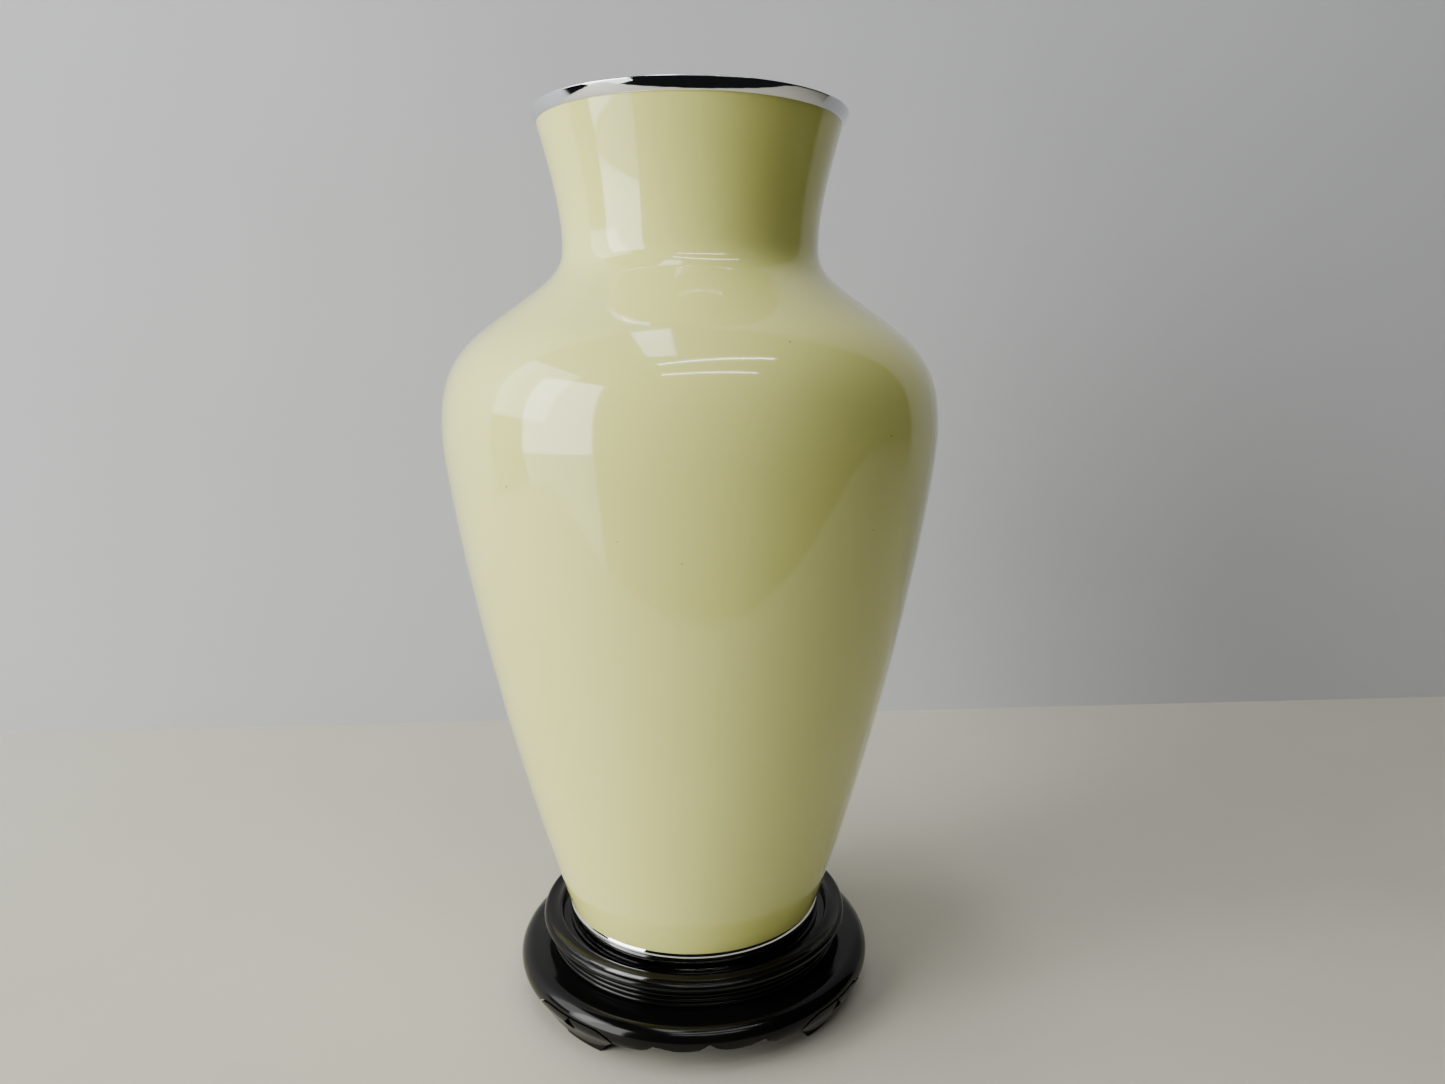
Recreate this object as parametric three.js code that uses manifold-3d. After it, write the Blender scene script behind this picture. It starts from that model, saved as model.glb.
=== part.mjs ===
// A vase of plain cream enamel on spun copper, standing in its black lacquered stand.
// Millimetres. +Z is up, the table is z = 0, and the middle of one apron faces -Y.
import * as THREE from 'three';
import { mergeVertices } from 'three/addons/utils/BufferGeometryUtils.js';
import Module from 'manifold-3d';

const wasm = await Module();
wasm.setup();

// Driving dimensions of the vase. Heights count from the lower edge of the outer enamel.
const ENAMEL_HEIGHT = 235;
const FOOT_RADIUS = 40.3;
const BELLY_RADIUS = 73;
const BELLY_HEIGHT = 149;
const NECK_RADIUS = 37.3;
const NECK_HEIGHT = 202;
const MOUTH_RADIUS = 43.5;
const ENAMEL_THICKNESS = 0.8;
const COPPER_THICKNESS = 1.2;
const FLOOR_LIFT = 1.6;
const BAND_OVERHANG = 1.8;
const BAND_HEIGHT = 3;
const FOOT_RING_HEIGHT = 6.2;
const FOOT_RING_PROUD = 0.3;

// Driving dimensions of the stand. Its radii build outwards from the vase's foot ring.
const RECESS_CLEARANCE = 2.4;
const RECESS_DEPTH = 2.3;
const LIP_WIDTH = 6;
const LIP_HEIGHT = 3.8;
const LIP_OVERHANG = 3.1;
const SPIGOT_DEPTH = 2.3;
const WAIST_HEIGHT = 4.7;
const RIB_COUNT = 3;
const CUSHION_SPREAD = 7.6;
const CUSHION_SECTION = 4.6;
const CUSHION_HEIGHT = 10.5;
const SHOULDER_RISE = 0.5;
const RING_WALL = 7;
const LAPPET_RELIEF = 2;
const FOOT_COUNT = 4;

const GAP = 0.3;
const SIDES = 40;

// Looks.
const creamEnamel = { color: 0xd9d6bd, roughness: 0.12, metalness: 0 };
const counterEnamel = { color: 0xc9c5a8, roughness: 0.3, metalness: 0 };
const copper = { color: 0xa8603c, roughness: 0.4, metalness: 1 };
const silverPlate = { color: 0xd6d8da, roughness: 0.08, metalness: 1 };
const blackLacquer = { color: 0x0c0c0d, roughness: 0.12, metalness: 0 };

const vase = new THREE.Group();
const stand = new THREE.Group();

function place(group, name, geometry, look, turn = 0) {
  const mesh = new THREE.Mesh(geometry, new THREE.MeshStandardMaterial(look));
  mesh.name = name;
  mesh.rotation.z = turn;
  group.add(mesh);
}

// One closed skin: shared corners merged, and triangles of no area dropped.
function closedSkin(geometry) {
  geometry.deleteAttribute('normal');
  geometry.deleteAttribute('uv');
  const merged = mergeVertices(geometry, 1e-4);
  const index = Array.from(merged.index.array);
  const kept = [];
  for (let i = 0; i < index.length; i += 3) {
    const [a, b, c] = index.slice(i, i + 3);
    if (a !== b && b !== c && c !== a) kept.push(a, b, c);
  }
  merged.setIndex(kept);
  merged.computeVertexNormals();
  return merged;
}

// Turns an outline of [radius, height] points about the Z axis.
function turned(outline) {
  const points = outline.map(([r, z]) => new THREE.Vector2(r, z));
  if (THREE.ShapeUtils.area(points) < 0) points.reverse();
  if (points[0].x > 0 || points.at(-1).x > 0) points.push(points[0].clone());
  const geometry = new THREE.LatheGeometry(points, SIDES);
  geometry.rotateX(Math.PI / 2);
  return closedSkin(geometry);
}

function arc(r, z, radius, from, to, steps) {
  const points = [];
  for (let i = 0; i <= steps; i++) {
    const a = THREE.MathUtils.degToRad(from + ((to - from) * i) / steps);
    points.push([r + radius * Math.cos(a), z + radius * Math.sin(a)]);
  }
  return points;
}

function toSolid(geometry) {
  return new wasm.Manifold(new wasm.Mesh({
    numProp: 3,
    vertProperties: new Float32Array(geometry.attributes.position.array),
    triVerts: new Uint32Array(geometry.index.array),
  }));
}

function toGeometry(solid) {
  const mesh = solid.getMesh();
  const geometry = new THREE.BufferGeometry();
  geometry.setAttribute('position', new THREE.BufferAttribute(mesh.vertProperties, 3));
  geometry.setIndex(new THREE.BufferAttribute(mesh.triVerts, 1));
  geometry.computeVertexNormals();
  return geometry;
}

// A radial prism: an outline of [degrees from -Y, height] points, swept between two radii.
function radialPrism(outline, inner, outer) {
  const shape = new THREE.Shape(outline.map(([a, z]) => new THREE.Vector2(a, z)));
  const options = { depth: outer - inner, steps: 1, bevelEnabled: false, curveSegments: 1 };
  const geometry = new THREE.ExtrudeGeometry(shape, options);
  const position = geometry.attributes.position;
  for (let i = 0; i < position.count; i++) {
    const a = THREE.MathUtils.degToRad(position.getX(i));
    const r = inner + position.getZ(i);
    position.setXYZ(i, r * Math.sin(a), -r * Math.cos(a), position.getY(i));
  }
  return toSolid(closedSkin(geometry));
}

// ---- The stand ------------------------------------------------------------------------

const footRingRadius = FOOT_RADIUS + FOOT_RING_PROUD;
const recessRadius = footRingRadius + RECESS_CLEARANCE;
const lipRadius = recessRadius + LIP_WIDTH;
const waistRadius = lipRadius - LIP_OVERHANG;
const cushionRadius = lipRadius + CUSHION_SPREAD;
const cushionCentre = cushionRadius - CUSHION_SECTION;
const ringTop = CUSHION_HEIGHT + CUSHION_SECTION + SHOULDER_RISE;
const waistBottom = ringTop + GAP;
const waistTop = waistBottom + WAIST_HEIGHT;
const standHeight = waistTop + GAP + LIP_HEIGHT;
const recessFloor = standHeight - RECESS_DEPTH;
const spigotRadius = recessRadius + 1;
const spigotBottom = waistTop + GAP - SPIGOT_DEPTH;

// Seat: a turned disc with a recess for the foot ring, a dished rim and a rounded lip.
const lipRound = 0.42 * LIP_HEIGHT;
const innerRound = 0.9;
const dish = 0.4;
place(stand, 'stand_seat', turned([
  [0, spigotBottom],
  [spigotRadius, spigotBottom],
  [spigotRadius, waistTop + GAP],
  [waistRadius + 0.7, waistTop + GAP],
  ...arc(lipRadius - lipRound, standHeight - lipRound, lipRound, -60, 90, 6),
  [(lipRadius + recessRadius) / 2 + 0.2, standHeight - dish],
  ...arc(recessRadius + innerRound, standHeight - innerRound, innerRound, 90, 180, 3),
  [recessRadius, recessFloor],
  [0, recessFloor],
]), blackLacquer);

// Waist: a turned ring with fine beads, holding the spigot of the seat.
const ledgeRadius = recessRadius - 3;
const ribPitch = WAIST_HEIGHT / RIB_COUNT;
const ribs = [];
for (let i = 0; i < RIB_COUNT; i++) {
  ribs.push(...arc(waistRadius, waistBottom + (i + 0.5) * ribPitch, ribPitch * 0.45, -90, 90, 3));
}
place(stand, 'stand_waist', turned([
  [ledgeRadius, waistBottom],
  [waistRadius, waistBottom],
  ...ribs,
  [waistRadius, waistTop],
  [spigotRadius + GAP, waistTop],
  [spigotRadius + GAP, spigotBottom - GAP],
  [ledgeRadius, spigotBottom - GAP],
]), blackLacquer);

// The ring under the waist: a cushion moulding above, tucking in below. Heights on the
// aprons and feet are shares of the height of the cushion's widest line.
const share = (part) => part * CUSHION_HEIGHT;
const cushion = arc(cushionCentre, CUSHION_HEIGHT, CUSHION_SECTION, -25, 90, 8);
const tuck = [cushionRadius - 1.1, share(0.72)];
const ringInner = cushionRadius - CUSHION_SECTION - RING_WALL - 4;
const footInner = cushionRadius - CUSHION_SECTION - RING_WALL;

const ringSolid = toSolid(turned([
  [footInner, tuck[1]],
  tuck,
  ...cushion,
  [cushionCentre - 2.4, ringTop - SHOULDER_RISE / 2],
  [cushionCentre - 4, ringTop],
  [ringInner, ringTop],
  [ringInner, ringTop - 3.6],
  [footInner, share(0.9)],
]));

const blockRadius = cushionRadius - 3.5 - LAPPET_RELIEF;
const footZone = toSolid(turned([
  [footInner, share(0.08)],
  [blockRadius + 1.4, share(0.11)],
  [blockRadius + 1.9, share(0.21)],
  [blockRadius + 3, share(0.5)],
  tuck,
  ...cushion.slice(0, 4),
  [footInner, cushion[3][1]],
]));

// A foot is a leaf-shaped lappet that hangs over a plain block, drawn from its own middle.
const mirror = (points) => points.map(([a, z]) => [-a, z]).reverse();
const leafTop = 1.06;
const leafHead = [[15.4, 0.79], [13.4, 0.92], [11, 1.02], [8, leafTop]];
const leafTail = [[3, 0.17], [6, 0.24], [9.7, 0.41], [13, 0.63]];
const degreesPerMm = 180 / (Math.PI * cushionRadius);

function leaf(grow) {
  const head = leafHead.map(([a, z]) => [a + grow * degreesPerMm, share(z) + grow]);
  const tail = leafTail.map(([a, z]) => [a + grow * degreesPerMm, share(z) - grow]);
  return [...head, ...mirror(head), ...mirror(tail), [0, share(0.15) - grow], ...tail];
}

const blockHead = share(0.65);
const block = [[13.2, 0], [14.6, blockHead], [-14.6, blockHead], [-13.2, 0]];
const dropSide = [[0.5, 0.99], [1.9, 0.88], [2.1, 0.8], [1.5, 0.72]].map(([a, z]) => [a, share(z)]);
const drop = [[0, share(leafTop) + 1], ...dropSide, [0, share(0.69)], ...mirror(dropSide)];
const lappet = radialPrism(leaf(0), 0.7 * cushionRadius, 1.2 * cushionRadius).intersect(footZone);
const footSolid = lappet
  .add(radialPrism(block, footInner, blockRadius))
  .subtract(radialPrism(drop, 0.6 * cushionRadius, 1.3 * cushionRadius));

// An apron is a quarter of the ring, with a bracket-shaped lower edge between two feet.
const bracket = [[0, 1.09], [1.2, 1.03], [3.2, 0.95], [5.6, 0.905], [8.6, 0.895], [11.6, 0.92], [14.4, 0.97],
  [16.3, 0.99], [18, 0.88], [20.5, 0.8], [23.5, 0.78], [27, 0.8], [32, 0.84]].map(([a, z]) => [a, share(z)]);
const below = share(0.38);
const edge = [...mirror(bracket.slice(1)), ...bracket, [32, below], [-32, below]];
const span = 180 / FOOT_COUNT;
const seam = span - (GAP / 2) * degreesPerMm;
const overTop = ringTop + 5;
const segment = [[-seam, below], [seam, below], [seam, overTop], [-seam, overTop]];
let apronSolid = ringSolid
  .intersect(radialPrism(segment, 0.4 * cushionRadius, 2 * cushionRadius))
  .subtract(radialPrism(edge, 0.5 * cushionRadius, 1.6 * cushionRadius));
for (const side of [-span, span]) {
  const opening = leaf(GAP).map(([a, z]) => [a + side, z]);
  apronSolid = apronSolid.subtract(radialPrism(opening, 0.6 * cushionRadius, 1.4 * cushionRadius));
}

for (let i = 0; i < FOOT_COUNT; i++) {
  const turn = (i * 2 * Math.PI) / FOOT_COUNT;
  place(stand, `apron_${i + 1}`, toGeometry(apronSolid), blackLacquer, turn);
  place(stand, `foot_${i + 1}`, toGeometry(footSolid), blackLacquer, turn + Math.PI / FOOT_COUNT);
}

// ---- The vase -------------------------------------------------------------------------

const footRingBottom = recessFloor + GAP;
const footRingTop = footRingBottom + FOOT_RING_HEIGHT;
const enamelBase = footRingTop + GAP;
const copperOut = ENAMEL_THICKNESS + GAP;
const copperIn = copperOut + COPPER_THICKNESS;
const liningOut = copperIn + GAP;
const liningIn = liningOut + ENAMEL_THICKNESS;

// The outer line of the vase: a long taper, a full shoulder, a short neck and a flaring mouth.
function vaseOutline() {
  const swell = BELLY_RADIUS - FOOT_RADIUS;
  const fall = BELLY_RADIUS - NECK_RADIUS;
  const flare = MOUTH_RADIUS - NECK_RADIUS;
  const climb = (part) => BELLY_HEIGHT + part * (NECK_HEIGHT - BELLY_HEIGHT);
  const throat = (part) => NECK_HEIGHT + part * (ENAMEL_HEIGHT - NECK_HEIGHT);
  const path = new THREE.Path();
  path.moveTo(FOOT_RADIUS, 0);
  path.bezierCurveTo(FOOT_RADIUS + 0.7 * swell, 0.476 * BELLY_HEIGHT,
    BELLY_RADIUS, 0.93 * BELLY_HEIGHT, BELLY_RADIUS, BELLY_HEIGHT);
  path.bezierCurveTo(BELLY_RADIUS, climb(0.26),
    NECK_RADIUS + 0.92 * fall, climb(0.42), NECK_RADIUS + 0.59 * fall, climb(0.58));
  path.bezierCurveTo(NECK_RADIUS + 0.15 * fall, climb(0.8),
    NECK_RADIUS, climb(0.84), NECK_RADIUS, NECK_HEIGHT);
  path.bezierCurveTo(NECK_RADIUS, throat(0.35),
    NECK_RADIUS + 0.53 * flare, throat(0.65), MOUTH_RADIUS, ENAMEL_HEIGHT);
  return path.getPoints(4);
}

const outline = vaseOutline();

// The same line moved inwards by an even depth. Its two ends stay at their own heights.
function inwards(depth) {
  const last = outline.length - 1;
  return outline.map((point, i) => {
    const along = outline[Math.min(i + 1, last)].clone().sub(outline[Math.max(i - 1, 0)]).normalize();
    if (i === 0 || i === last) return [point.x - depth / along.y, point.y + enamelBase];
    return [point.x - depth * along.y, point.y + depth * along.x + enamelBase];
  });
}

// The part of a line above a height, with the line's own point at that height.
function above(line, height) {
  const first = line.findIndex(([, z]) => z > height);
  const [r0, z0] = line[first - 1];
  const [r1, z1] = line[first];
  return [[r0 + ((height - z0) / (z1 - z0)) * (r1 - r0), height], ...line.slice(first)];
}

// Outer enamel: an open sleeve from the foot ring up to the rim band.
place(vase, 'outer_enamel', turned([...inwards(0), ...inwards(ENAMEL_THICKNESS).reverse()]), creamEnamel);

// Copper body: spun in one piece, with its floor let in just above the foot.
const floorUnder = enamelBase + FLOOR_LIFT;
const floorTop = floorUnder + COPPER_THICKNESS;
const skirtInner = FOOT_RADIUS - copperOut - COPPER_THICKNESS;
place(vase, 'copper_body', turned([
  [0, floorUnder],
  [skirtInner, floorUnder],
  [skirtInner, enamelBase],
  ...inwards(copperOut),
  ...above(inwards(copperIn), floorTop).reverse(),
  [0, floorTop],
]), copper);

// Inner enamel: the plain counter-enamel lining of the body and its floor.
const liningUnder = floorTop + GAP;
const liningTop = liningUnder + ENAMEL_THICKNESS;
place(vase, 'inner_enamel', turned([
  [0, liningUnder],
  ...above(inwards(liningOut), liningUnder),
  ...above(inwards(liningIn), liningTop).reverse(),
  [0, liningTop],
]), counterEnamel);

// Base enamel: the counter-enamel disc under the floor, inside the foot.
const baseTop = floorUnder - GAP;
place(vase, 'base_enamel', turned([
  [0, baseTop - ENAMEL_THICKNESS],
  [skirtInner - GAP, baseTop - ENAMEL_THICKNESS],
  [skirtInner - GAP, baseTop],
  [0, baseTop],
]), counterEnamel);

// Rim band: a plated ring with a sloping, bowed face and a rounded top, seated on the mouth's edge.
const bandBottom = enamelBase + ENAMEL_HEIGHT + GAP;
const bandRound = 0.27 * BAND_HEIGHT;
const bandWide = bandBottom + BAND_HEIGHT - bandRound;
const bandInner = MOUTH_RADIUS - liningIn - 0.3;
place(vase, 'rim_band', turned([
  [MOUTH_RADIUS, bandBottom],
  [MOUTH_RADIUS + 0.63 * BAND_OVERHANG, bandBottom + 0.4 * BAND_HEIGHT],
  ...arc(MOUTH_RADIUS + BAND_OVERHANG - bandRound, bandWide, bandRound, 0, 90, 4),
  ...arc(bandInner + bandRound, bandWide, bandRound, 90, 180, 4),
  [bandInner, bandBottom],
]), silverPlate);

// Foot ring: a plated ring under the body, which stands in the recess of the seat.
place(vase, 'foot_ring', turned([
  [skirtInner, footRingBottom],
  [footRingRadius - 0.5, footRingBottom],
  [footRingRadius, footRingBottom + 0.5],
  [footRingRadius, footRingTop - 1],
  [FOOT_RADIUS, footRingTop],
  [skirtInner, footRingTop],
]), silverPlate);

const object = new THREE.Group();
object.add(stand, vase);

export default object;
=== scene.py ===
import math

import bpy
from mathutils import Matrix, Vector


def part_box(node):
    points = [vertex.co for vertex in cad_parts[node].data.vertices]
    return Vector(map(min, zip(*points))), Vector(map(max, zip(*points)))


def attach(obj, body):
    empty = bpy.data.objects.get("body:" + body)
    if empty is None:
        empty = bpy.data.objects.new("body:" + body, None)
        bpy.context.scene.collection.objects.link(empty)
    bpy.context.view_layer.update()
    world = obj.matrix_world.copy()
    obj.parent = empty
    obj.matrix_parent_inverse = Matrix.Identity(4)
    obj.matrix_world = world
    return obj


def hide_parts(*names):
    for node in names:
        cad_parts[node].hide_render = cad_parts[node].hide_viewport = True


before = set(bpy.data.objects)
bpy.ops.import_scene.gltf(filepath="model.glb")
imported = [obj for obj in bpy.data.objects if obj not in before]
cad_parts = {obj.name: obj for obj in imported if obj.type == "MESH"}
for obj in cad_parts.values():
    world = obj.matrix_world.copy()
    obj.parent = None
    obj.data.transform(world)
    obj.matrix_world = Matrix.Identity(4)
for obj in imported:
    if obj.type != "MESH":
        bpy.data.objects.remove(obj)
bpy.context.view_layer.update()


# The room: a pale table top with a plain wall close behind it. They only carry light
# and shadow, and are not part of the vase. Seen from behind, the wall hides the vase.
MM = 0.001
TABLE_REACH = 1.5
TABLE_FRONT = 0.25
TABLE_LEFT = 0.6
WALL_LEFT = 0.75
WALL_BEHIND = 0.257
WALL_TURN = -1.9


def plain_paint(name, colour, roughness, scale, strength):
    """A flat painted surface with a faint cloudy change of tone and a little tooth."""
    material = bpy.data.materials.new(name)
    material.use_nodes = True
    nodes, links = material.node_tree.nodes, material.node_tree.links
    shader = nodes["Principled BSDF"]
    shader.inputs["Roughness"].default_value = roughness
    place = nodes.new("ShaderNodeTexCoord")
    cloud = nodes.new("ShaderNodeTexNoise")
    cloud.inputs["Scale"].default_value = scale
    cloud.inputs["Detail"].default_value = 4
    tone = nodes.new("ShaderNodeValToRGB")
    tone.color_ramp.elements[0].position = 0.3
    tone.color_ramp.elements[0].color = [0.94 * c for c in colour] + [1]
    tone.color_ramp.elements[1].position = 0.7
    tone.color_ramp.elements[1].color = list(colour) + [1]
    bump = nodes.new("ShaderNodeBump")
    bump.inputs["Strength"].default_value = strength
    bump.inputs["Distance"].default_value = 0.2 * MM
    links.new(place.outputs["Object"], cloud.inputs["Vector"])
    links.new(cloud.outputs["Fac"], tone.inputs["Fac"])
    links.new(tone.outputs["Color"], shader.inputs["Base Color"])
    links.new(cloud.outputs["Fac"], bump.inputs["Height"])
    links.new(bump.outputs["Normal"], shader.inputs["Normal"])
    return material


bpy.ops.object.select_all(action="DESELECT")
bpy.ops.mesh.primitive_plane_add(
    size=2 * TABLE_REACH,
    location=(TABLE_REACH - TABLE_LEFT, TABLE_REACH - TABLE_FRONT, 0),
)
table = bpy.context.object
table.name = "table_top"
table.data.materials.append(plain_paint("table_paint", (0.57, 0.55, 0.46), 0.55, 9, 0.05))

bpy.ops.mesh.primitive_plane_add(
    size=2 * TABLE_REACH,
    location=(-WALL_LEFT, WALL_BEHIND, 0),
    rotation=(math.radians(90), 0, math.radians(WALL_TURN)),
)
wall = bpy.context.object
wall.name = "wall"
wall.data.materials.append(plain_paint("wall_paint", (0.50, 0.505, 0.53), 0.8, 4, 0.03))


# Camera and lights: the camera is just below the rim's height and looks slightly down.
# Daylight comes from a window on the left, and two ceiling tubes draw thin lines on the
# shoulder.
CAMERA_TURN = -4.2
CAMERA_DISTANCE = 0.3045
CAMERA_HEIGHT = 0.2015
CAMERA_DOWN = 10.76
CAMERA_ASIDE = 1.75
CAMERA_LENS = 24.96

turn = math.radians(CAMERA_TURN)
bpy.ops.object.camera_add(
    location=(CAMERA_DISTANCE * math.sin(turn), -CAMERA_DISTANCE * math.cos(turn), CAMERA_HEIGHT),
    rotation=(math.radians(90 - CAMERA_DOWN), 0, turn - math.radians(CAMERA_ASIDE)),
)
camera = bpy.context.object
camera.name = "camera"
camera.data.lens = CAMERA_LENS
camera.data.sensor_width = 36
camera.data.clip_start = 0.01
bpy.context.scene.camera = camera


DAYLIGHT = (1, 1, 0.98)
LAMPLIGHT = (1, 1, 1)


def soft_light(name, at, aim, width, height, watts, colour):
    """A rectangular soft box that faces the point it is aimed at."""
    run = [a - b for a, b in zip(aim, at)]
    flat = math.hypot(run[0], run[1])
    tilt = (math.pi / 2 + math.atan2(run[2], flat), 0, math.atan2(-run[0], run[1]))
    bpy.ops.object.light_add(type="AREA", location=at, rotation=tilt)
    light = bpy.context.object
    light.name = name
    light.data.shape = "RECTANGLE"
    light.data.size = width
    light.data.size_y = height
    light.data.energy = watts
    light.data.color = colour


soft_light("window", (-1.38, -0.70, 0.60), (0, 0, 0.60), 0.95, 1.3, 36, DAYLIGHT)
soft_light("window_sill", (-1.38, -0.70, -0.4), (0, 0, -0.4), 0.95, 0.66, 5, DAYLIGHT)
soft_light("side_glow", (-1.5, -0.02, 0.85), (0, 0, 0.1), 1.3, 1.1, 24, DAYLIGHT)
soft_light("ceiling_glow", (-0.3, 0.02, 1.9), (0, 0, 0.1), 1.2, 0.3, 8, LAMPLIGHT)
soft_light("tube_near", (0.12, -1.1, 1.55), (0, 0, 0.2), 1.1, 0.03, 3.4, LAMPLIGHT)
soft_light("tube_far", (0.16, -0.6, 1.55), (0, 0, 0.2), 1.1, 0.03, 3.4, LAMPLIGHT)

world = bpy.data.worlds.new("room")
world.use_nodes = True
world.node_tree.nodes["Background"].inputs["Color"].default_value = (0.9, 0.95, 1, 1)
world.node_tree.nodes["Background"].inputs["Strength"].default_value = 0.01
bpy.context.scene.world = world


# Outer enamel: a thick coat of clear pale yellow glass enamel, fired on in several layers
# and ground and polished to an even gloss. It runs from the foot ring to the rim band.
ENAMEL_THICKNESS = 0.8 * MM
COAT_GAP = 0.3 * MM
COPPER_THICKNESS = 1.2 * MM
SPIN_STEPS = 192
WELD = 0.002 * MM

enamel_low, enamel_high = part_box("outer_enamel")
BASE = enamel_low[2]
ENAMEL_HEIGHT = enamel_high[2] - BASE
BELLY_RADIUS = enamel_high[0]
FOOT_RADIUS = 40.3 * MM
NECK_RADIUS = 37.3 * MM
MOUTH_RADIUS = 43.5 * MM
BELLY_HEIGHT = 149 * MM
NECK_HEIGHT = 202 * MM


def bezier(start, pull_a, pull_b, end, steps):
    """Points along one cubic curve, without its last point."""
    points = []
    for i in range(steps):
        t = i / steps
        a, b, c, d = (1 - t) ** 3, 3 * t * (1 - t) ** 2, 3 * t * t * (1 - t), t**3
        points.append(tuple(a * p + b * q + c * r + d * s for p, q, r, s in zip(start, pull_a, pull_b, end)))
    return points


def vase_line(steps=22):
    """The vase's outer line: long taper, full shoulder, short neck and flaring mouth."""
    swell = BELLY_RADIUS - FOOT_RADIUS
    fall = BELLY_RADIUS - NECK_RADIUS
    flare = MOUTH_RADIUS - NECK_RADIUS
    climb = NECK_HEIGHT - BELLY_HEIGHT
    throat = ENAMEL_HEIGHT - NECK_HEIGHT
    foot = (FOOT_RADIUS, 0)
    belly = (BELLY_RADIUS, BELLY_HEIGHT)
    shoulder = (NECK_RADIUS + 0.59 * fall, BELLY_HEIGHT + 0.58 * climb)
    neck = (NECK_RADIUS, NECK_HEIGHT)
    mouth = (MOUTH_RADIUS, ENAMEL_HEIGHT)
    line = bezier(foot, (FOOT_RADIUS + 0.7 * swell, 0.476 * BELLY_HEIGHT),
                  (BELLY_RADIUS, 0.93 * BELLY_HEIGHT), belly, steps)
    line += bezier(belly, (BELLY_RADIUS, BELLY_HEIGHT + 0.26 * climb),
                   (NECK_RADIUS + 0.92 * fall, BELLY_HEIGHT + 0.42 * climb), shoulder, steps)
    line += bezier(shoulder, (NECK_RADIUS + 0.15 * fall, BELLY_HEIGHT + 0.8 * climb),
                   (NECK_RADIUS, BELLY_HEIGHT + 0.84 * climb), neck, steps)
    line += bezier(neck, (NECK_RADIUS, NECK_HEIGHT + 0.35 * throat),
                   (NECK_RADIUS + 0.53 * flare, NECK_HEIGHT + 0.65 * throat), mouth, steps)
    return line + [mouth]


def inwards(depth):
    """The vase's line moved in by an even depth. Its ends stay at their own heights."""
    line = vase_line()
    moved = []
    for i, (r, z) in enumerate(line):
        before, after = line[max(i - 1, 0)], line[min(i + 1, len(line) - 1)]
        run, rise = after[0] - before[0], after[1] - before[1]
        length = math.hypot(run, rise)
        if i in (0, len(line) - 1):
            moved.append((r - depth * length / rise, z + BASE))
        else:
            moved.append((r - depth * rise / length, z + BASE + depth * run / length))
    return moved


def above(line, height):
    """The part of a line above a height, with the line's own point at that height."""
    first = next(i for i, point in enumerate(line) if point[1] > height + 0.01 * MM)
    (r0, z0), (r1, z1) = line[first - 1], line[first]
    return [(r0 + (height - z0) / (z1 - z0) * (r1 - r0), height)] + line[first:]


def turned(name, outline, angle=2 * math.pi, start=0.0, steps=SPIN_STEPS, crease=40):
    """Draws an outline point by point and spins it about the upright axis into a solid."""
    bpy.ops.object.select_all(action="DESELECT")
    bpy.ops.mesh.primitive_plane_add(size=MM, location=(0, -outline[0][0], outline[0][1]))
    bpy.ops.object.transform_apply(location=True, rotation=True, scale=True)
    piece = bpy.context.object
    piece.name = name
    bpy.ops.object.mode_set(mode="EDIT")
    bpy.ops.mesh.select_all(action="SELECT")
    bpy.ops.mesh.merge(type="CENTER")
    for (r0, z0), (r1, z1) in zip(outline, outline[1:]):
        bpy.ops.mesh.extrude_region_move(TRANSFORM_OT_translate={"value": (0, r0 - r1, z1 - z0)})
    bpy.ops.mesh.select_all(action="SELECT")
    if start:
        bpy.ops.transform.rotate(value=-start, orient_axis="Z", center_override=(0, 0, 0))
    bpy.ops.mesh.spin(steps=steps, angle=angle, center=(0, 0, 0), axis=(0, 0, 1))
    bpy.ops.mesh.select_all(action="SELECT")
    bpy.ops.mesh.remove_doubles(threshold=WELD)
    if angle < 2 * math.pi:
        bpy.ops.mesh.select_all(action="DESELECT")
        bpy.ops.mesh.select_non_manifold()
        bpy.ops.mesh.edge_face_add()
        bpy.ops.mesh.select_all(action="SELECT")
    bpy.ops.mesh.normals_make_consistent(inside=False)
    bpy.ops.object.mode_set(mode="OBJECT")
    bpy.ops.object.shade_smooth_by_angle(angle=math.radians(crease))
    return piece


def closed(outline):
    return outline + outline[:1]


outer_enamel = turned("outer_enamel_coat", closed(inwards(0) + inwards(ENAMEL_THICKNESS)[::-1]))
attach(outer_enamel, "vase")
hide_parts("outer_enamel")


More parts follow.
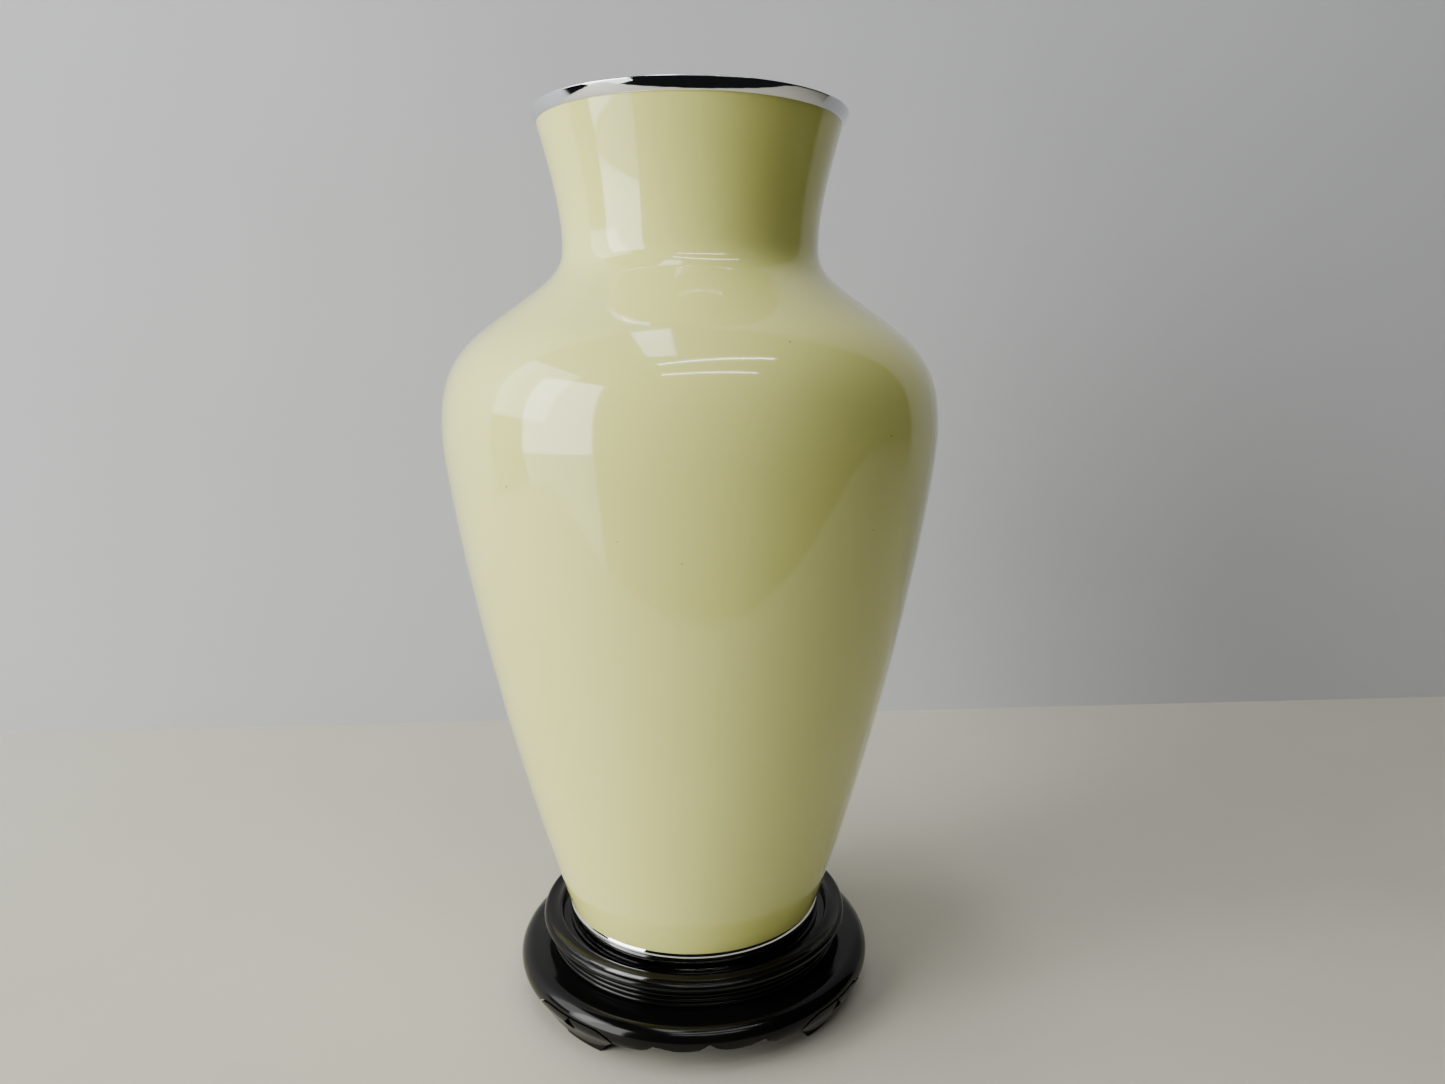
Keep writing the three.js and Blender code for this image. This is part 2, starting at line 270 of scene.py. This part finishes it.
def gloss_wave_group():
    """Fine surface of a polished coat: a slow swell, a fine skin and sparse small pits."""
    group = bpy.data.node_groups.new("gloss_wave", "ShaderNodeTree")
    for name, value in (("Swell", 30.0), ("Skin", 500.0), ("Pits", 260.0)):
        group.interface.new_socket(name, in_out="INPUT", socket_type="NodeSocketFloat").default_value = value
    for name in ("Height", "Pit Mask", "Cloud"):
        group.interface.new_socket(name, in_out="OUTPUT", socket_type="NodeSocketFloat")
    nodes, links = group.nodes, group.links
    given = nodes.new("NodeGroupInput")
    out = nodes.new("NodeGroupOutput")
    place = nodes.new("ShaderNodeTexCoord")
    swell = nodes.new("ShaderNodeTexNoise")
    swell.inputs["Detail"].default_value = 2
    skin = nodes.new("ShaderNodeTexNoise")
    skin.inputs["Detail"].default_value = 3
    pits = nodes.new("ShaderNodeTexVoronoi")
    for node, name in ((swell, "Swell"), (skin, "Skin"), (pits, "Pits")):
        links.new(place.outputs["Object"], node.inputs["Vector"])
        links.new(given.outputs[name], node.inputs["Scale"])
    near = nodes.new("ShaderNodeMath")
    near.operation = "LESS_THAN"
    near.inputs[1].default_value = 0.07
    links.new(pits.outputs["Distance"], near.inputs[0])
    chance = nodes.new("ShaderNodeSeparateColor")
    links.new(pits.outputs["Color"], chance.inputs["Color"])
    rare = nodes.new("ShaderNodeMath")
    rare.operation = "GREATER_THAN"
    rare.inputs[1].default_value = 0.985
    links.new(chance.outputs["Red"], rare.inputs[0])
    pit = nodes.new("ShaderNodeMath")
    pit.operation = "MULTIPLY"
    links.new(near.outputs[0], pit.inputs[0])
    links.new(rare.outputs[0], pit.inputs[1])
    fine = nodes.new("ShaderNodeMath")
    fine.operation = "MULTIPLY_ADD"
    fine.inputs[1].default_value = 0.04
    links.new(skin.outputs["Fac"], fine.inputs[0])
    links.new(swell.outputs["Fac"], fine.inputs[2])
    height = nodes.new("ShaderNodeMath")
    height.operation = "MULTIPLY_ADD"
    height.inputs[1].default_value = -0.15
    links.new(pit.outputs[0], height.inputs[0])
    links.new(fine.outputs[0], height.inputs[2])
    links.new(height.outputs[0], out.inputs["Height"])
    links.new(pit.outputs[0], out.inputs["Pit Mask"])
    links.new(swell.outputs["Fac"], out.inputs["Cloud"])
    return group


gloss_wave = gloss_wave_group()


def enamel(name, light, deep, speck, roughness, coat, wave):
    """Fired enamel: cloudy body colour, a few dark specks and a glassy surface."""
    material = bpy.data.materials.new(name)
    material.use_nodes = True
    nodes, links = material.node_tree.nodes, material.node_tree.links
    shader = nodes["Principled BSDF"]
    shader.inputs["Roughness"].default_value = roughness
    shader.inputs["IOR"].default_value = 1.52
    shader.inputs["Coat Weight"].default_value = coat
    shader.inputs["Coat Roughness"].default_value = 0.03
    surface = nodes.new("ShaderNodeGroup")
    surface.node_tree = gloss_wave
    cloud = nodes.new("ShaderNodeMix")
    cloud.data_type = "RGBA"
    cloud.inputs["A"].default_value = (*light, 1)
    cloud.inputs["B"].default_value = (*deep, 1)
    specks = nodes.new("ShaderNodeMix")
    specks.data_type = "RGBA"
    specks.inputs["B"].default_value = (*speck, 1)
    bump = nodes.new("ShaderNodeBump")
    bump.inputs["Strength"].default_value = wave
    bump.inputs["Distance"].default_value = 0.4 * MM
    links.new(surface.outputs["Cloud"], cloud.inputs["Factor"])
    links.new(cloud.outputs["Result"], specks.inputs["A"])
    links.new(surface.outputs["Pit Mask"], specks.inputs["Factor"])
    links.new(specks.outputs["Result"], shader.inputs["Base Color"])
    links.new(surface.outputs["Height"], bump.inputs["Height"])
    links.new(bump.outputs["Normal"], shader.inputs["Normal"])
    return material


cream = enamel("cream_enamel", (0.81, 0.825, 0.27), (0.76, 0.77, 0.235), (0.25, 0.2, 0.1), 0.10, 0.5, 0.10)
outer_enamel.data.materials.append(cream)


# Copper body: one sheet of copper spun to the vase's shape, with its floor let in above
# the foot. Enamel covers it inside and out, so only its edges ever show.
COPPER_OUT = ENAMEL_THICKNESS + COAT_GAP
COPPER_IN = COPPER_OUT + COPPER_THICKNESS
base_low, base_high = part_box("base_enamel")
SKIRT_INNER = base_high[0] + COAT_GAP
FLOOR_UNDER = base_high[2] + COAT_GAP
FLOOR_TOP = FLOOR_UNDER + COPPER_THICKNESS
copper_body = turned("copper_shell", (
    [(0, FLOOR_UNDER), (SKIRT_INNER, FLOOR_UNDER), (SKIRT_INNER, BASE)]
    + inwards(COPPER_OUT) + above(inwards(COPPER_IN), FLOOR_TOP)[::-1] + [(0, FLOOR_TOP)]))
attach(copper_body, "vase")
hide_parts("copper_body")


def metal(name, colour, dull, roughness, rough_more, stretch, strength):
    """A worked metal: fine turning lines round the axis, and a little change of polish."""
    material = bpy.data.materials.new(name)
    material.use_nodes = True
    nodes, links = material.node_tree.nodes, material.node_tree.links
    shader = nodes["Principled BSDF"]
    shader.inputs["Metallic"].default_value = 1
    place = nodes.new("ShaderNodeTexCoord")
    spread = nodes.new("ShaderNodeMapping")
    spread.inputs["Scale"].default_value = (1, 1, stretch)
    lines = nodes.new("ShaderNodeTexNoise")
    lines.inputs["Scale"].default_value = 60
    lines.inputs["Detail"].default_value = 4
    stain = nodes.new("ShaderNodeTexNoise")
    stain.inputs["Scale"].default_value = 45
    polish = nodes.new("ShaderNodeMapRange")
    polish.inputs["To Min"].default_value = roughness
    polish.inputs["To Max"].default_value = rough_more
    tone = nodes.new("ShaderNodeMix")
    tone.data_type = "RGBA"
    tone.inputs["A"].default_value = (*colour, 1)
    tone.inputs["B"].default_value = (*dull, 1)
    bump = nodes.new("ShaderNodeBump")
    bump.inputs["Strength"].default_value = strength
    bump.inputs["Distance"].default_value = 0.05 * MM
    links.new(place.outputs["Object"], spread.inputs["Vector"])
    links.new(spread.outputs["Vector"], lines.inputs["Vector"])
    links.new(place.outputs["Object"], stain.inputs["Vector"])
    links.new(stain.outputs["Fac"], polish.inputs["Value"])
    links.new(stain.outputs["Fac"], tone.inputs["Factor"])
    links.new(polish.outputs["Result"], shader.inputs["Roughness"])
    links.new(tone.outputs["Result"], shader.inputs["Base Color"])
    links.new(lines.outputs["Fac"], bump.inputs["Height"])
    links.new(bump.outputs["Normal"], shader.inputs["Normal"])
    return material


copper_body.data.materials.append(metal("copper", (0.62, 0.30, 0.18), (0.45, 0.2, 0.12), 0.3, 0.5, 40, 0.3))


# Inner enamel: the counter-enamel lining, which balances the outer coat in the firing. It
# is the same pale glass, left as fired, and covers the floor as well.
LINING_OUT = COPPER_IN + COAT_GAP
LINING_IN = LINING_OUT + ENAMEL_THICKNESS
LINING_UNDER = FLOOR_TOP + COAT_GAP
LINING_TOP = LINING_UNDER + ENAMEL_THICKNESS
inner_enamel = turned("inner_enamel_lining", (
    [(0, LINING_UNDER)] + above(inwards(LINING_OUT), LINING_UNDER)
    + above(inwards(LINING_IN), LINING_TOP)[::-1] + [(0, LINING_TOP)]))
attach(inner_enamel, "vase")
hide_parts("inner_enamel")
counter = enamel("counter_enamel", (0.70, 0.68, 0.34), (0.62, 0.60, 0.28), (0.12, 0.1, 0.06), 0.26, 0.2, 0.5)
inner_enamel.data.materials.append(counter)


# Base enamel: a disc of the same counter-enamel under the floor, with a soft round edge
# where the glass drew back from the foot as it melted.
base_enamel = turned("base_enamel_disc", [
    (0, base_low[2] + 0.1 * MM),
    (base_high[0] - 1.2 * MM, base_low[2]),
    (base_high[0] - 0.35 * MM, base_low[2] + 0.12 * MM),
    (base_high[0], base_low[2] + 0.4 * MM),
    (base_high[0], base_high[2]),
    (0, base_high[2]),
])
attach(base_enamel, "vase")
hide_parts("base_enamel")
base_enamel.data.materials.append(counter)


# Rim band: a silver-plated ring with a sloping outer face and a softly rounded top, pressed
# over the raw edge of the mouth and polished bright. It reaches down onto the enamel.
def arc(r, z, radius, start, end, steps):
    """Points on a round, from one angle to another, in degrees."""
    points = []
    for i in range(steps + 1):
        a = math.radians(start + (end - start) * i / steps)
        points.append((r + radius * math.cos(a), z + radius * math.sin(a)))
    return points


band_low, band_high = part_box("rim_band")
BAND_INNER = MOUTH_RADIUS - LINING_IN - COAT_GAP
SNUG = 0.27 * MM
band_edge = band_low[2] - SNUG
band_round = 0.12 * (band_high[2] - band_low[2])
band_wide = band_high[2] - band_round
rim_band = turned("rim_band_plated", closed(
    [(BAND_INNER + 0.2 * MM, band_edge),
     (MOUTH_RADIUS + 0.2 * MM, band_edge),
     (MOUTH_RADIUS + 0.32 * MM, band_edge + 0.05 * MM),
     (MOUTH_RADIUS + 0.4 * MM, band_edge + 0.15 * MM),
     (band_high[0] - 0.62 * MM, band_wide - 1.35 * MM),
     (band_high[0] - 0.2 * MM, band_wide - 0.5 * MM),
     (band_high[0] - 0.05 * MM, band_wide - 0.14 * MM)]
    + arc(band_high[0] - band_round, band_wide, band_round, 0, 90, 8)
    + arc(BAND_INNER + 3 * band_round, band_high[2] - 3 * band_round, 3 * band_round, 90, 180, 10)
    + [(BAND_INNER, band_edge + 0.2 * MM)]), crease=30)
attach(rim_band, "vase")
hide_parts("rim_band")
silver = metal("silver_plate", (0.86, 0.87, 0.88), (0.74, 0.75, 0.78), 0.02, 0.07, 60, 0.05)
rim_band.data.materials.append(silver)


# Foot ring: the matching plated ring under the body, soldered on and reaching up to the
# enamel. Its face is slightly hollow, and it stands loose in the stand's recess.
ring_low, ring_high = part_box("foot_ring")
RING_ROUND = 0.6 * MM
ring_head = ring_high[2] + SNUG
foot_ring = turned("foot_ring_plated", closed(
    [(SKIRT_INNER, ring_low[2])]
    + arc(ring_high[0] - RING_ROUND, ring_low[2] + RING_ROUND, RING_ROUND, -90, 0, 6)
    + [(ring_high[0] - 0.12 * MM, 0.5 * (ring_low[2] + ring_high[2])),
       (ring_high[0], ring_high[2] - 1.0 * MM),
       (ring_high[0] - 0.08 * MM, ring_high[2] - 0.3 * MM),
       (FOOT_RADIUS - 0.1 * MM, ring_head),
       (SKIRT_INNER, ring_head)]), crease=30)
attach(foot_ring, "vase")
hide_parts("foot_ring")
foot_ring.data.materials.append(silver)


# Seat of the stand: a turned disc of wood with a shallow recess for the foot ring, a
# dished rim between two fine rounds, and a spigot below that fits the waist.
seat_low, seat_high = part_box("stand_seat")
waist_low, waist_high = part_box("stand_waist")
STAND_TOP = seat_high[2]
STAND_GAP = 0.3 * MM
LIP_RADIUS = seat_high[0]
RECESS_RADIUS = LIP_RADIUS - 6 * MM
RECESS_FLOOR = STAND_TOP - 2.3 * MM
WAIST_RADIUS = LIP_RADIUS - 3.1 * MM
SPIGOT_RADIUS = RECESS_RADIUS + 1 * MM
SEAT_UNDER = waist_high[2] + STAND_GAP
LIP_ROUND = 1.55 * MM
INNER_ROUND = 0.75 * MM
seat = turned("stand_seat_turned", [
    (0, seat_low[2]),
    (SPIGOT_RADIUS - 0.3 * MM, seat_low[2]),
    (SPIGOT_RADIUS, seat_low[2] + 0.3 * MM),
    (SPIGOT_RADIUS, SEAT_UNDER),
    (WAIST_RADIUS + 0.9 * MM, SEAT_UNDER),
    (WAIST_RADIUS + 1.2 * MM, SEAT_UNDER + 0.35 * MM),
] + arc(LIP_RADIUS - LIP_ROUND, STAND_TOP - LIP_ROUND, LIP_ROUND, -70, 75, 16) + [
    (LIP_RADIUS - 1.5 * MM, STAND_TOP - 0.16 * MM),
    (LIP_RADIUS - 2.0 * MM, STAND_TOP - 0.38 * MM),
    (LIP_RADIUS - 3.2 * MM, STAND_TOP - 0.5 * MM),
    (RECESS_RADIUS + 1.9 * MM, STAND_TOP - 0.42 * MM),
    (RECESS_RADIUS + 1.5 * MM, STAND_TOP - 0.2 * MM),
] + arc(RECESS_RADIUS + 0.85 * MM, STAND_TOP - INNER_ROUND, INNER_ROUND, 70, 180, 10) + [
    (RECESS_RADIUS, RECESS_FLOOR + 0.3 * MM),
    (RECESS_RADIUS - 0.3 * MM, RECESS_FLOOR),
    (0, RECESS_FLOOR),
], crease=32)
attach(seat, "stand")
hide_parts("stand_seat")


def lacquer(name):
    """Black lacquer on wood: deep gloss, a faint brush swell and a few specks of dust."""
    material = bpy.data.materials.new(name)
    material.use_nodes = True
    nodes, links = material.node_tree.nodes, material.node_tree.links
    shader = nodes["Principled BSDF"]
    shader.inputs["IOR"].default_value = 1.45
    shader.inputs["Specular IOR Level"].default_value = 0.26
    surface = nodes.new("ShaderNodeGroup")
    surface.node_tree = gloss_wave
    surface.inputs["Swell"].default_value = 60
    surface.inputs["Skin"].default_value = 900
    surface.inputs["Pits"].default_value = 420
    tone = nodes.new("ShaderNodeMix")
    tone.data_type = "RGBA"
    tone.inputs["A"].default_value = (0.0015, 0.0015, 0.0017, 1)
    tone.inputs["B"].default_value = (0.004, 0.0038, 0.0036, 1)
    dust = nodes.new("ShaderNodeMix")
    dust.data_type = "RGBA"
    dust.inputs["B"].default_value = (0.05, 0.048, 0.042, 1)
    polish = nodes.new("ShaderNodeMapRange")
    polish.inputs["To Min"].default_value = 0.08
    polish.inputs["To Max"].default_value = 0.18
    bump = nodes.new("ShaderNodeBump")
    bump.inputs["Strength"].default_value = 0.25
    bump.inputs["Distance"].default_value = 0.15 * MM
    links.new(surface.outputs["Cloud"], tone.inputs["Factor"])
    links.new(tone.outputs["Result"], dust.inputs["A"])
    links.new(surface.outputs["Pit Mask"], dust.inputs["Factor"])
    links.new(dust.outputs["Result"], shader.inputs["Base Color"])
    links.new(surface.outputs["Cloud"], polish.inputs["Value"])
    links.new(polish.outputs["Result"], shader.inputs["Roughness"])
    links.new(surface.outputs["Height"], bump.inputs["Height"])
    links.new(bump.outputs["Normal"], shader.inputs["Normal"])
    return material


black_lacquer = lacquer("black_lacquer")
seat.data.materials.append(black_lacquer)


# Waist of the stand: a turned ring with three fine beads, glued between the seat's spigot
# and the ring below.
RIB_COUNT = 3
LEDGE_RADIUS = RECESS_RADIUS - 3 * MM
SOCKET_RADIUS = SPIGOT_RADIUS + STAND_GAP
SOCKET_FLOOR = seat_low[2] - STAND_GAP
ribs = []
rib_pitch = (waist_high[2] - waist_low[2]) / RIB_COUNT
for i in range(RIB_COUNT):
    middle = waist_low[2] + (i + 0.5) * rib_pitch
    ribs += arc(WAIST_RADIUS, middle, 0.45 * rib_pitch, -90, 90, 8)
waist = turned("stand_waist_turned", closed(
    [(LEDGE_RADIUS, waist_low[2]), (WAIST_RADIUS, waist_low[2])] + ribs
    + [(WAIST_RADIUS, waist_high[2]),
       (SOCKET_RADIUS, waist_high[2]),
       (SOCKET_RADIUS, SOCKET_FLOOR),
       (LEDGE_RADIUS, SOCKET_FLOOR)]), crease=35)
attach(waist, "stand")
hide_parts("stand_waist")
waist.data.materials.append(black_lacquer)


# Aprons: four quarters of a thick turned ring with a cushion moulding. Each has a
# bracket-shaped lower edge sawn between two feet, and its sharp corners rubbed round.
CUSHION_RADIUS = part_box("apron_2")[1][0]
CUSHION_SECTION = 4.6 * MM
CUSHION_HEIGHT = 10.5 * MM
CUSHION_CENTRE = CUSHION_RADIUS - CUSHION_SECTION
RING_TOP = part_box("apron_1")[1][2]
RING_INNER = CUSHION_CENTRE - 11 * MM
FOOT_INNER = CUSHION_CENTRE - 7 * MM
APRON_COUNT = 4
QUARTER = math.radians(360 / APRON_COUNT)
SAW_CUT = 0.55 * MM
FINE_WELD = 0.0005 * MM
cushion = arc(CUSHION_CENTRE, CUSHION_HEIGHT, CUSHION_SECTION, -25, 90, 20)
tuck = (CUSHION_RADIUS - 1.1 * MM, 0.72 * CUSHION_HEIGHT)


def share(outline):
    """Heights given as shares of the height of the cushion's widest line."""
    return [(angle, part * CUSHION_HEIGHT) for angle, part in outline]


def mirrored(outline):
    return [(-angle, z) for angle, z in outline][::-1]


def radial_cutter(name, outline, inner, outer):
    """A solid of an outline of (degrees from the front, height), swept out from the axis."""
    bpy.ops.object.select_all(action="DESELECT")
    bpy.ops.mesh.primitive_circle_add(vertices=len(outline), radius=1, fill_type="NOTHING")
    piece = bpy.context.object
    piece.name = name
    for vertex, (angle, z) in zip(piece.data.vertices, outline):
        a = math.radians(angle)
        vertex.co = (inner * math.sin(a), -inner * math.cos(a), z)
    bpy.ops.object.mode_set(mode="EDIT")
    bpy.ops.mesh.select_all(action="SELECT")
    bpy.ops.mesh.edge_face_add()
    bpy.ops.mesh.extrude_region_move()
    spread = outer / inner
    bpy.ops.transform.resize(value=(spread, spread, 1), center_override=(0, 0, 0))
    bpy.ops.mesh.select_all(action="SELECT")
    bpy.ops.mesh.quads_convert_to_tris(quad_method="BEAUTY", ngon_method="BEAUTY")
    bpy.ops.mesh.normals_make_consistent(inside=False)
    bpy.ops.object.mode_set(mode="OBJECT")
    return piece


def carve(piece, tool, operation):
    """Cuts, joins or keeps what a tool solid covers, and takes the tool away."""
    bpy.ops.object.select_all(action="DESELECT")
    bpy.context.view_layer.objects.active = piece
    piece.select_set(True)
    cut = piece.modifiers.new("carve", "BOOLEAN")
    cut.operation = operation
    cut.object = tool
    cut.solver = "EXACT"
    bpy.ops.object.modifier_apply(modifier=cut.name)
    bpy.data.objects.remove(tool, do_unlink=True)


def rub_edges(piece, width, crease=32):
    """Rounds the sawn edges as sanding and lacquer do."""
    bpy.ops.object.select_all(action="DESELECT")
    bpy.context.view_layer.objects.active = piece
    piece.select_set(True)
    soft = piece.modifiers.new("rub", "BEVEL")
    soft.limit_method = "ANGLE"
    soft.angle_limit = math.radians(40)
    soft.width = width
    soft.segments = 3
    bpy.ops.object.modifier_apply(modifier=soft.name)
    bpy.ops.object.mode_set(mode="EDIT")
    bpy.ops.mesh.select_all(action="SELECT")
    bpy.ops.mesh.remove_doubles(threshold=FINE_WELD)
    bpy.ops.object.mode_set(mode="OBJECT")
    bpy.ops.object.shade_smooth_by_angle(angle=math.radians(crease))


def copy_turned(piece, name, angle):
    """A copy of a piece with its own mesh, turned about the upright axis."""
    twin = piece.copy()
    twin.data = piece.data.copy()
    twin.name = name
    bpy.context.collection.objects.link(twin)
    bpy.ops.object.select_all(action="DESELECT")
    bpy.context.view_layer.objects.active = twin
    twin.select_set(True)
    twin.rotation_euler = (0, 0, angle)
    bpy.ops.object.transform_apply(location=True, rotation=True, scale=True)
    return twin


leaf_head = share([(15.4, 0.79), (14.6, 0.87), (13.4, 0.94), (12, 0.99), (10.4, 1.035), (8, 1.06)])
leaf_tail = share([(1.5, 0.333), (3, 0.334), (4.5, 0.336), (6, 0.345), (7.5, 0.365), (9, 0.4),
                   (10.5, 0.45), (12, 0.52), (13.4, 0.6), (14.6, 0.69)])
leaf_tip = 0.333 * CUSHION_HEIGHT


def leaf(grow):
    """The outline of a foot's lappet about its own middle, grown all round."""
    wider = math.degrees(grow / CUSHION_RADIUS)
    head = [(angle + wider, z + grow) for angle, z in leaf_head]
    tail = [(angle + wider, z - grow) for angle, z in leaf_tail]
    return head + mirrored(head) + mirrored(tail) + [(0, leaf_tip - grow)] + tail


def shifted(outline, angle):
    return [(a + angle, z) for a, z in outline]


bracket = share([(0, 1.09), (0.6, 1.065), (1.5, 1.015), (2.6, 0.967), (4, 0.93), (5.6, 0.905), (7.4, 0.893),
                 (9.2, 0.895), (11, 0.912), (12.8, 0.94), (14.6, 0.975), (16.3, 1.0), (16.9, 0.95),
                 (18, 0.885), (19.4, 0.83), (21, 0.797), (23, 0.782), (25, 0.785), (27, 0.8), (32, 0.85)])
below = 0.3 * CUSHION_HEIGHT
apron = turned("apron_1_carved", closed(
    [(FOOT_INNER, tuck[1]), tuck] + cushion
    + [(CUSHION_CENTRE - 1.2 * MM, RING_TOP - 0.42 * MM),
       (CUSHION_CENTRE - 2.6 * MM, RING_TOP - 0.18 * MM),
       (CUSHION_CENTRE - 4 * MM, RING_TOP),
       (RING_INNER, RING_TOP),
       (RING_INNER, RING_TOP - 3.6 * MM),
       (FOOT_INNER, 0.9 * CUSHION_HEIGHT)]), angle=QUARTER, start=QUARTER / 2, steps=72)
carve(apron, radial_cutter("saw_edge", mirrored(bracket[1:]) + bracket + [(32, below), (-32, below)],
                           0.5 * CUSHION_RADIUS, 1.6 * CUSHION_RADIUS), "DIFFERENCE")
for side in (-0.5, 0.5):
    carve(apron, radial_cutter("saw_leaf", shifted(leaf(SAW_CUT), side * math.degrees(QUARTER)),
                               0.6 * CUSHION_RADIUS, 1.4 * CUSHION_RADIUS), "DIFFERENCE")
rub_edges(apron, 0.3 * MM)
apron.data.materials.append(black_lacquer)
aprons = [apron]
for i in range(1, APRON_COUNT):
    aprons.append(copy_turned(apron, f"apron_{i + 1}_carved", i * QUARTER))
for i, piece in enumerate(aprons):
    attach(piece, "stand")
    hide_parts(f"apron_{i + 1}")


# Feet: each is a leaf-shaped lappet carved to the ring's curve, with a small drop pierced
# through its head, hanging over a plain block that stands on the table.
BLOCK_RADIUS = CUSHION_RADIUS - 5.5 * MM
BLOCK_HEAD = 0.65 * CUSHION_HEIGHT
SPARE = 1 * MM
FOOT_SPAN = math.radians(40)
lappet = turned("foot_1_carved", closed(
    [(FOOT_INNER, 0.08 * CUSHION_HEIGHT),
     (BLOCK_RADIUS + 1.4 * MM, 0.11 * CUSHION_HEIGHT),
     (BLOCK_RADIUS + 1.65 * MM, 0.16 * CUSHION_HEIGHT),
     (BLOCK_RADIUS + 1.9 * MM, 0.21 * CUSHION_HEIGHT),
     (BLOCK_RADIUS + 2.4 * MM, 0.35 * CUSHION_HEIGHT),
     (BLOCK_RADIUS + 3.1 * MM, 0.5 * CUSHION_HEIGHT),
     (BLOCK_RADIUS + 3.8 * MM, 0.62 * CUSHION_HEIGHT),
     tuck] + cushion[:8] + [(FOOT_INNER, cushion[7][1])]), angle=FOOT_SPAN, start=FOOT_SPAN / 2, steps=32)
carve(lappet, radial_cutter("leaf", leaf(0), 0.6 * CUSHION_RADIUS, 1.2 * CUSHION_RADIUS), "INTERSECT")
block = turned("block", closed([(FOOT_INNER, 0), (BLOCK_RADIUS, 0), (BLOCK_RADIUS, BLOCK_HEAD),
                                (FOOT_INNER, BLOCK_HEAD)]), angle=FOOT_SPAN, start=FOOT_SPAN / 2, steps=32)
block_side = [(7, -SPARE), (12.5, BLOCK_HEAD + SPARE)]
carve(block, radial_cutter("block_shape", block_side + mirrored(block_side),
                           0.5 * CUSHION_RADIUS, 1.3 * CUSHION_RADIUS), "INTERSECT")
carve(lappet, block, "UNION")
drop_side = share([(0.5, 0.99), (1.2, 0.93), (1.9, 0.88), (2.2, 0.82), (2.1, 0.77), (1.6, 0.72)])
drop = [(0, leaf_head[-1][1] + SPARE)] + drop_side + [(0, 0.69 * CUSHION_HEIGHT)] + mirrored(drop_side)
carve(lappet, radial_cutter("drop", drop, 0.6 * CUSHION_RADIUS, 1.3 * CUSHION_RADIUS), "DIFFERENCE")
rub_edges(lappet, 0.25 * MM)
lappet.data.materials.append(black_lacquer)
for i in range(APRON_COUNT):
    foot = copy_turned(lappet, f"foot_{i + 1}_leaf", (i + 0.5) * QUARTER)
    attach(foot, "stand")
    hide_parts(f"foot_{i + 1}")
bpy.data.objects.remove(lappet, do_unlink=True)
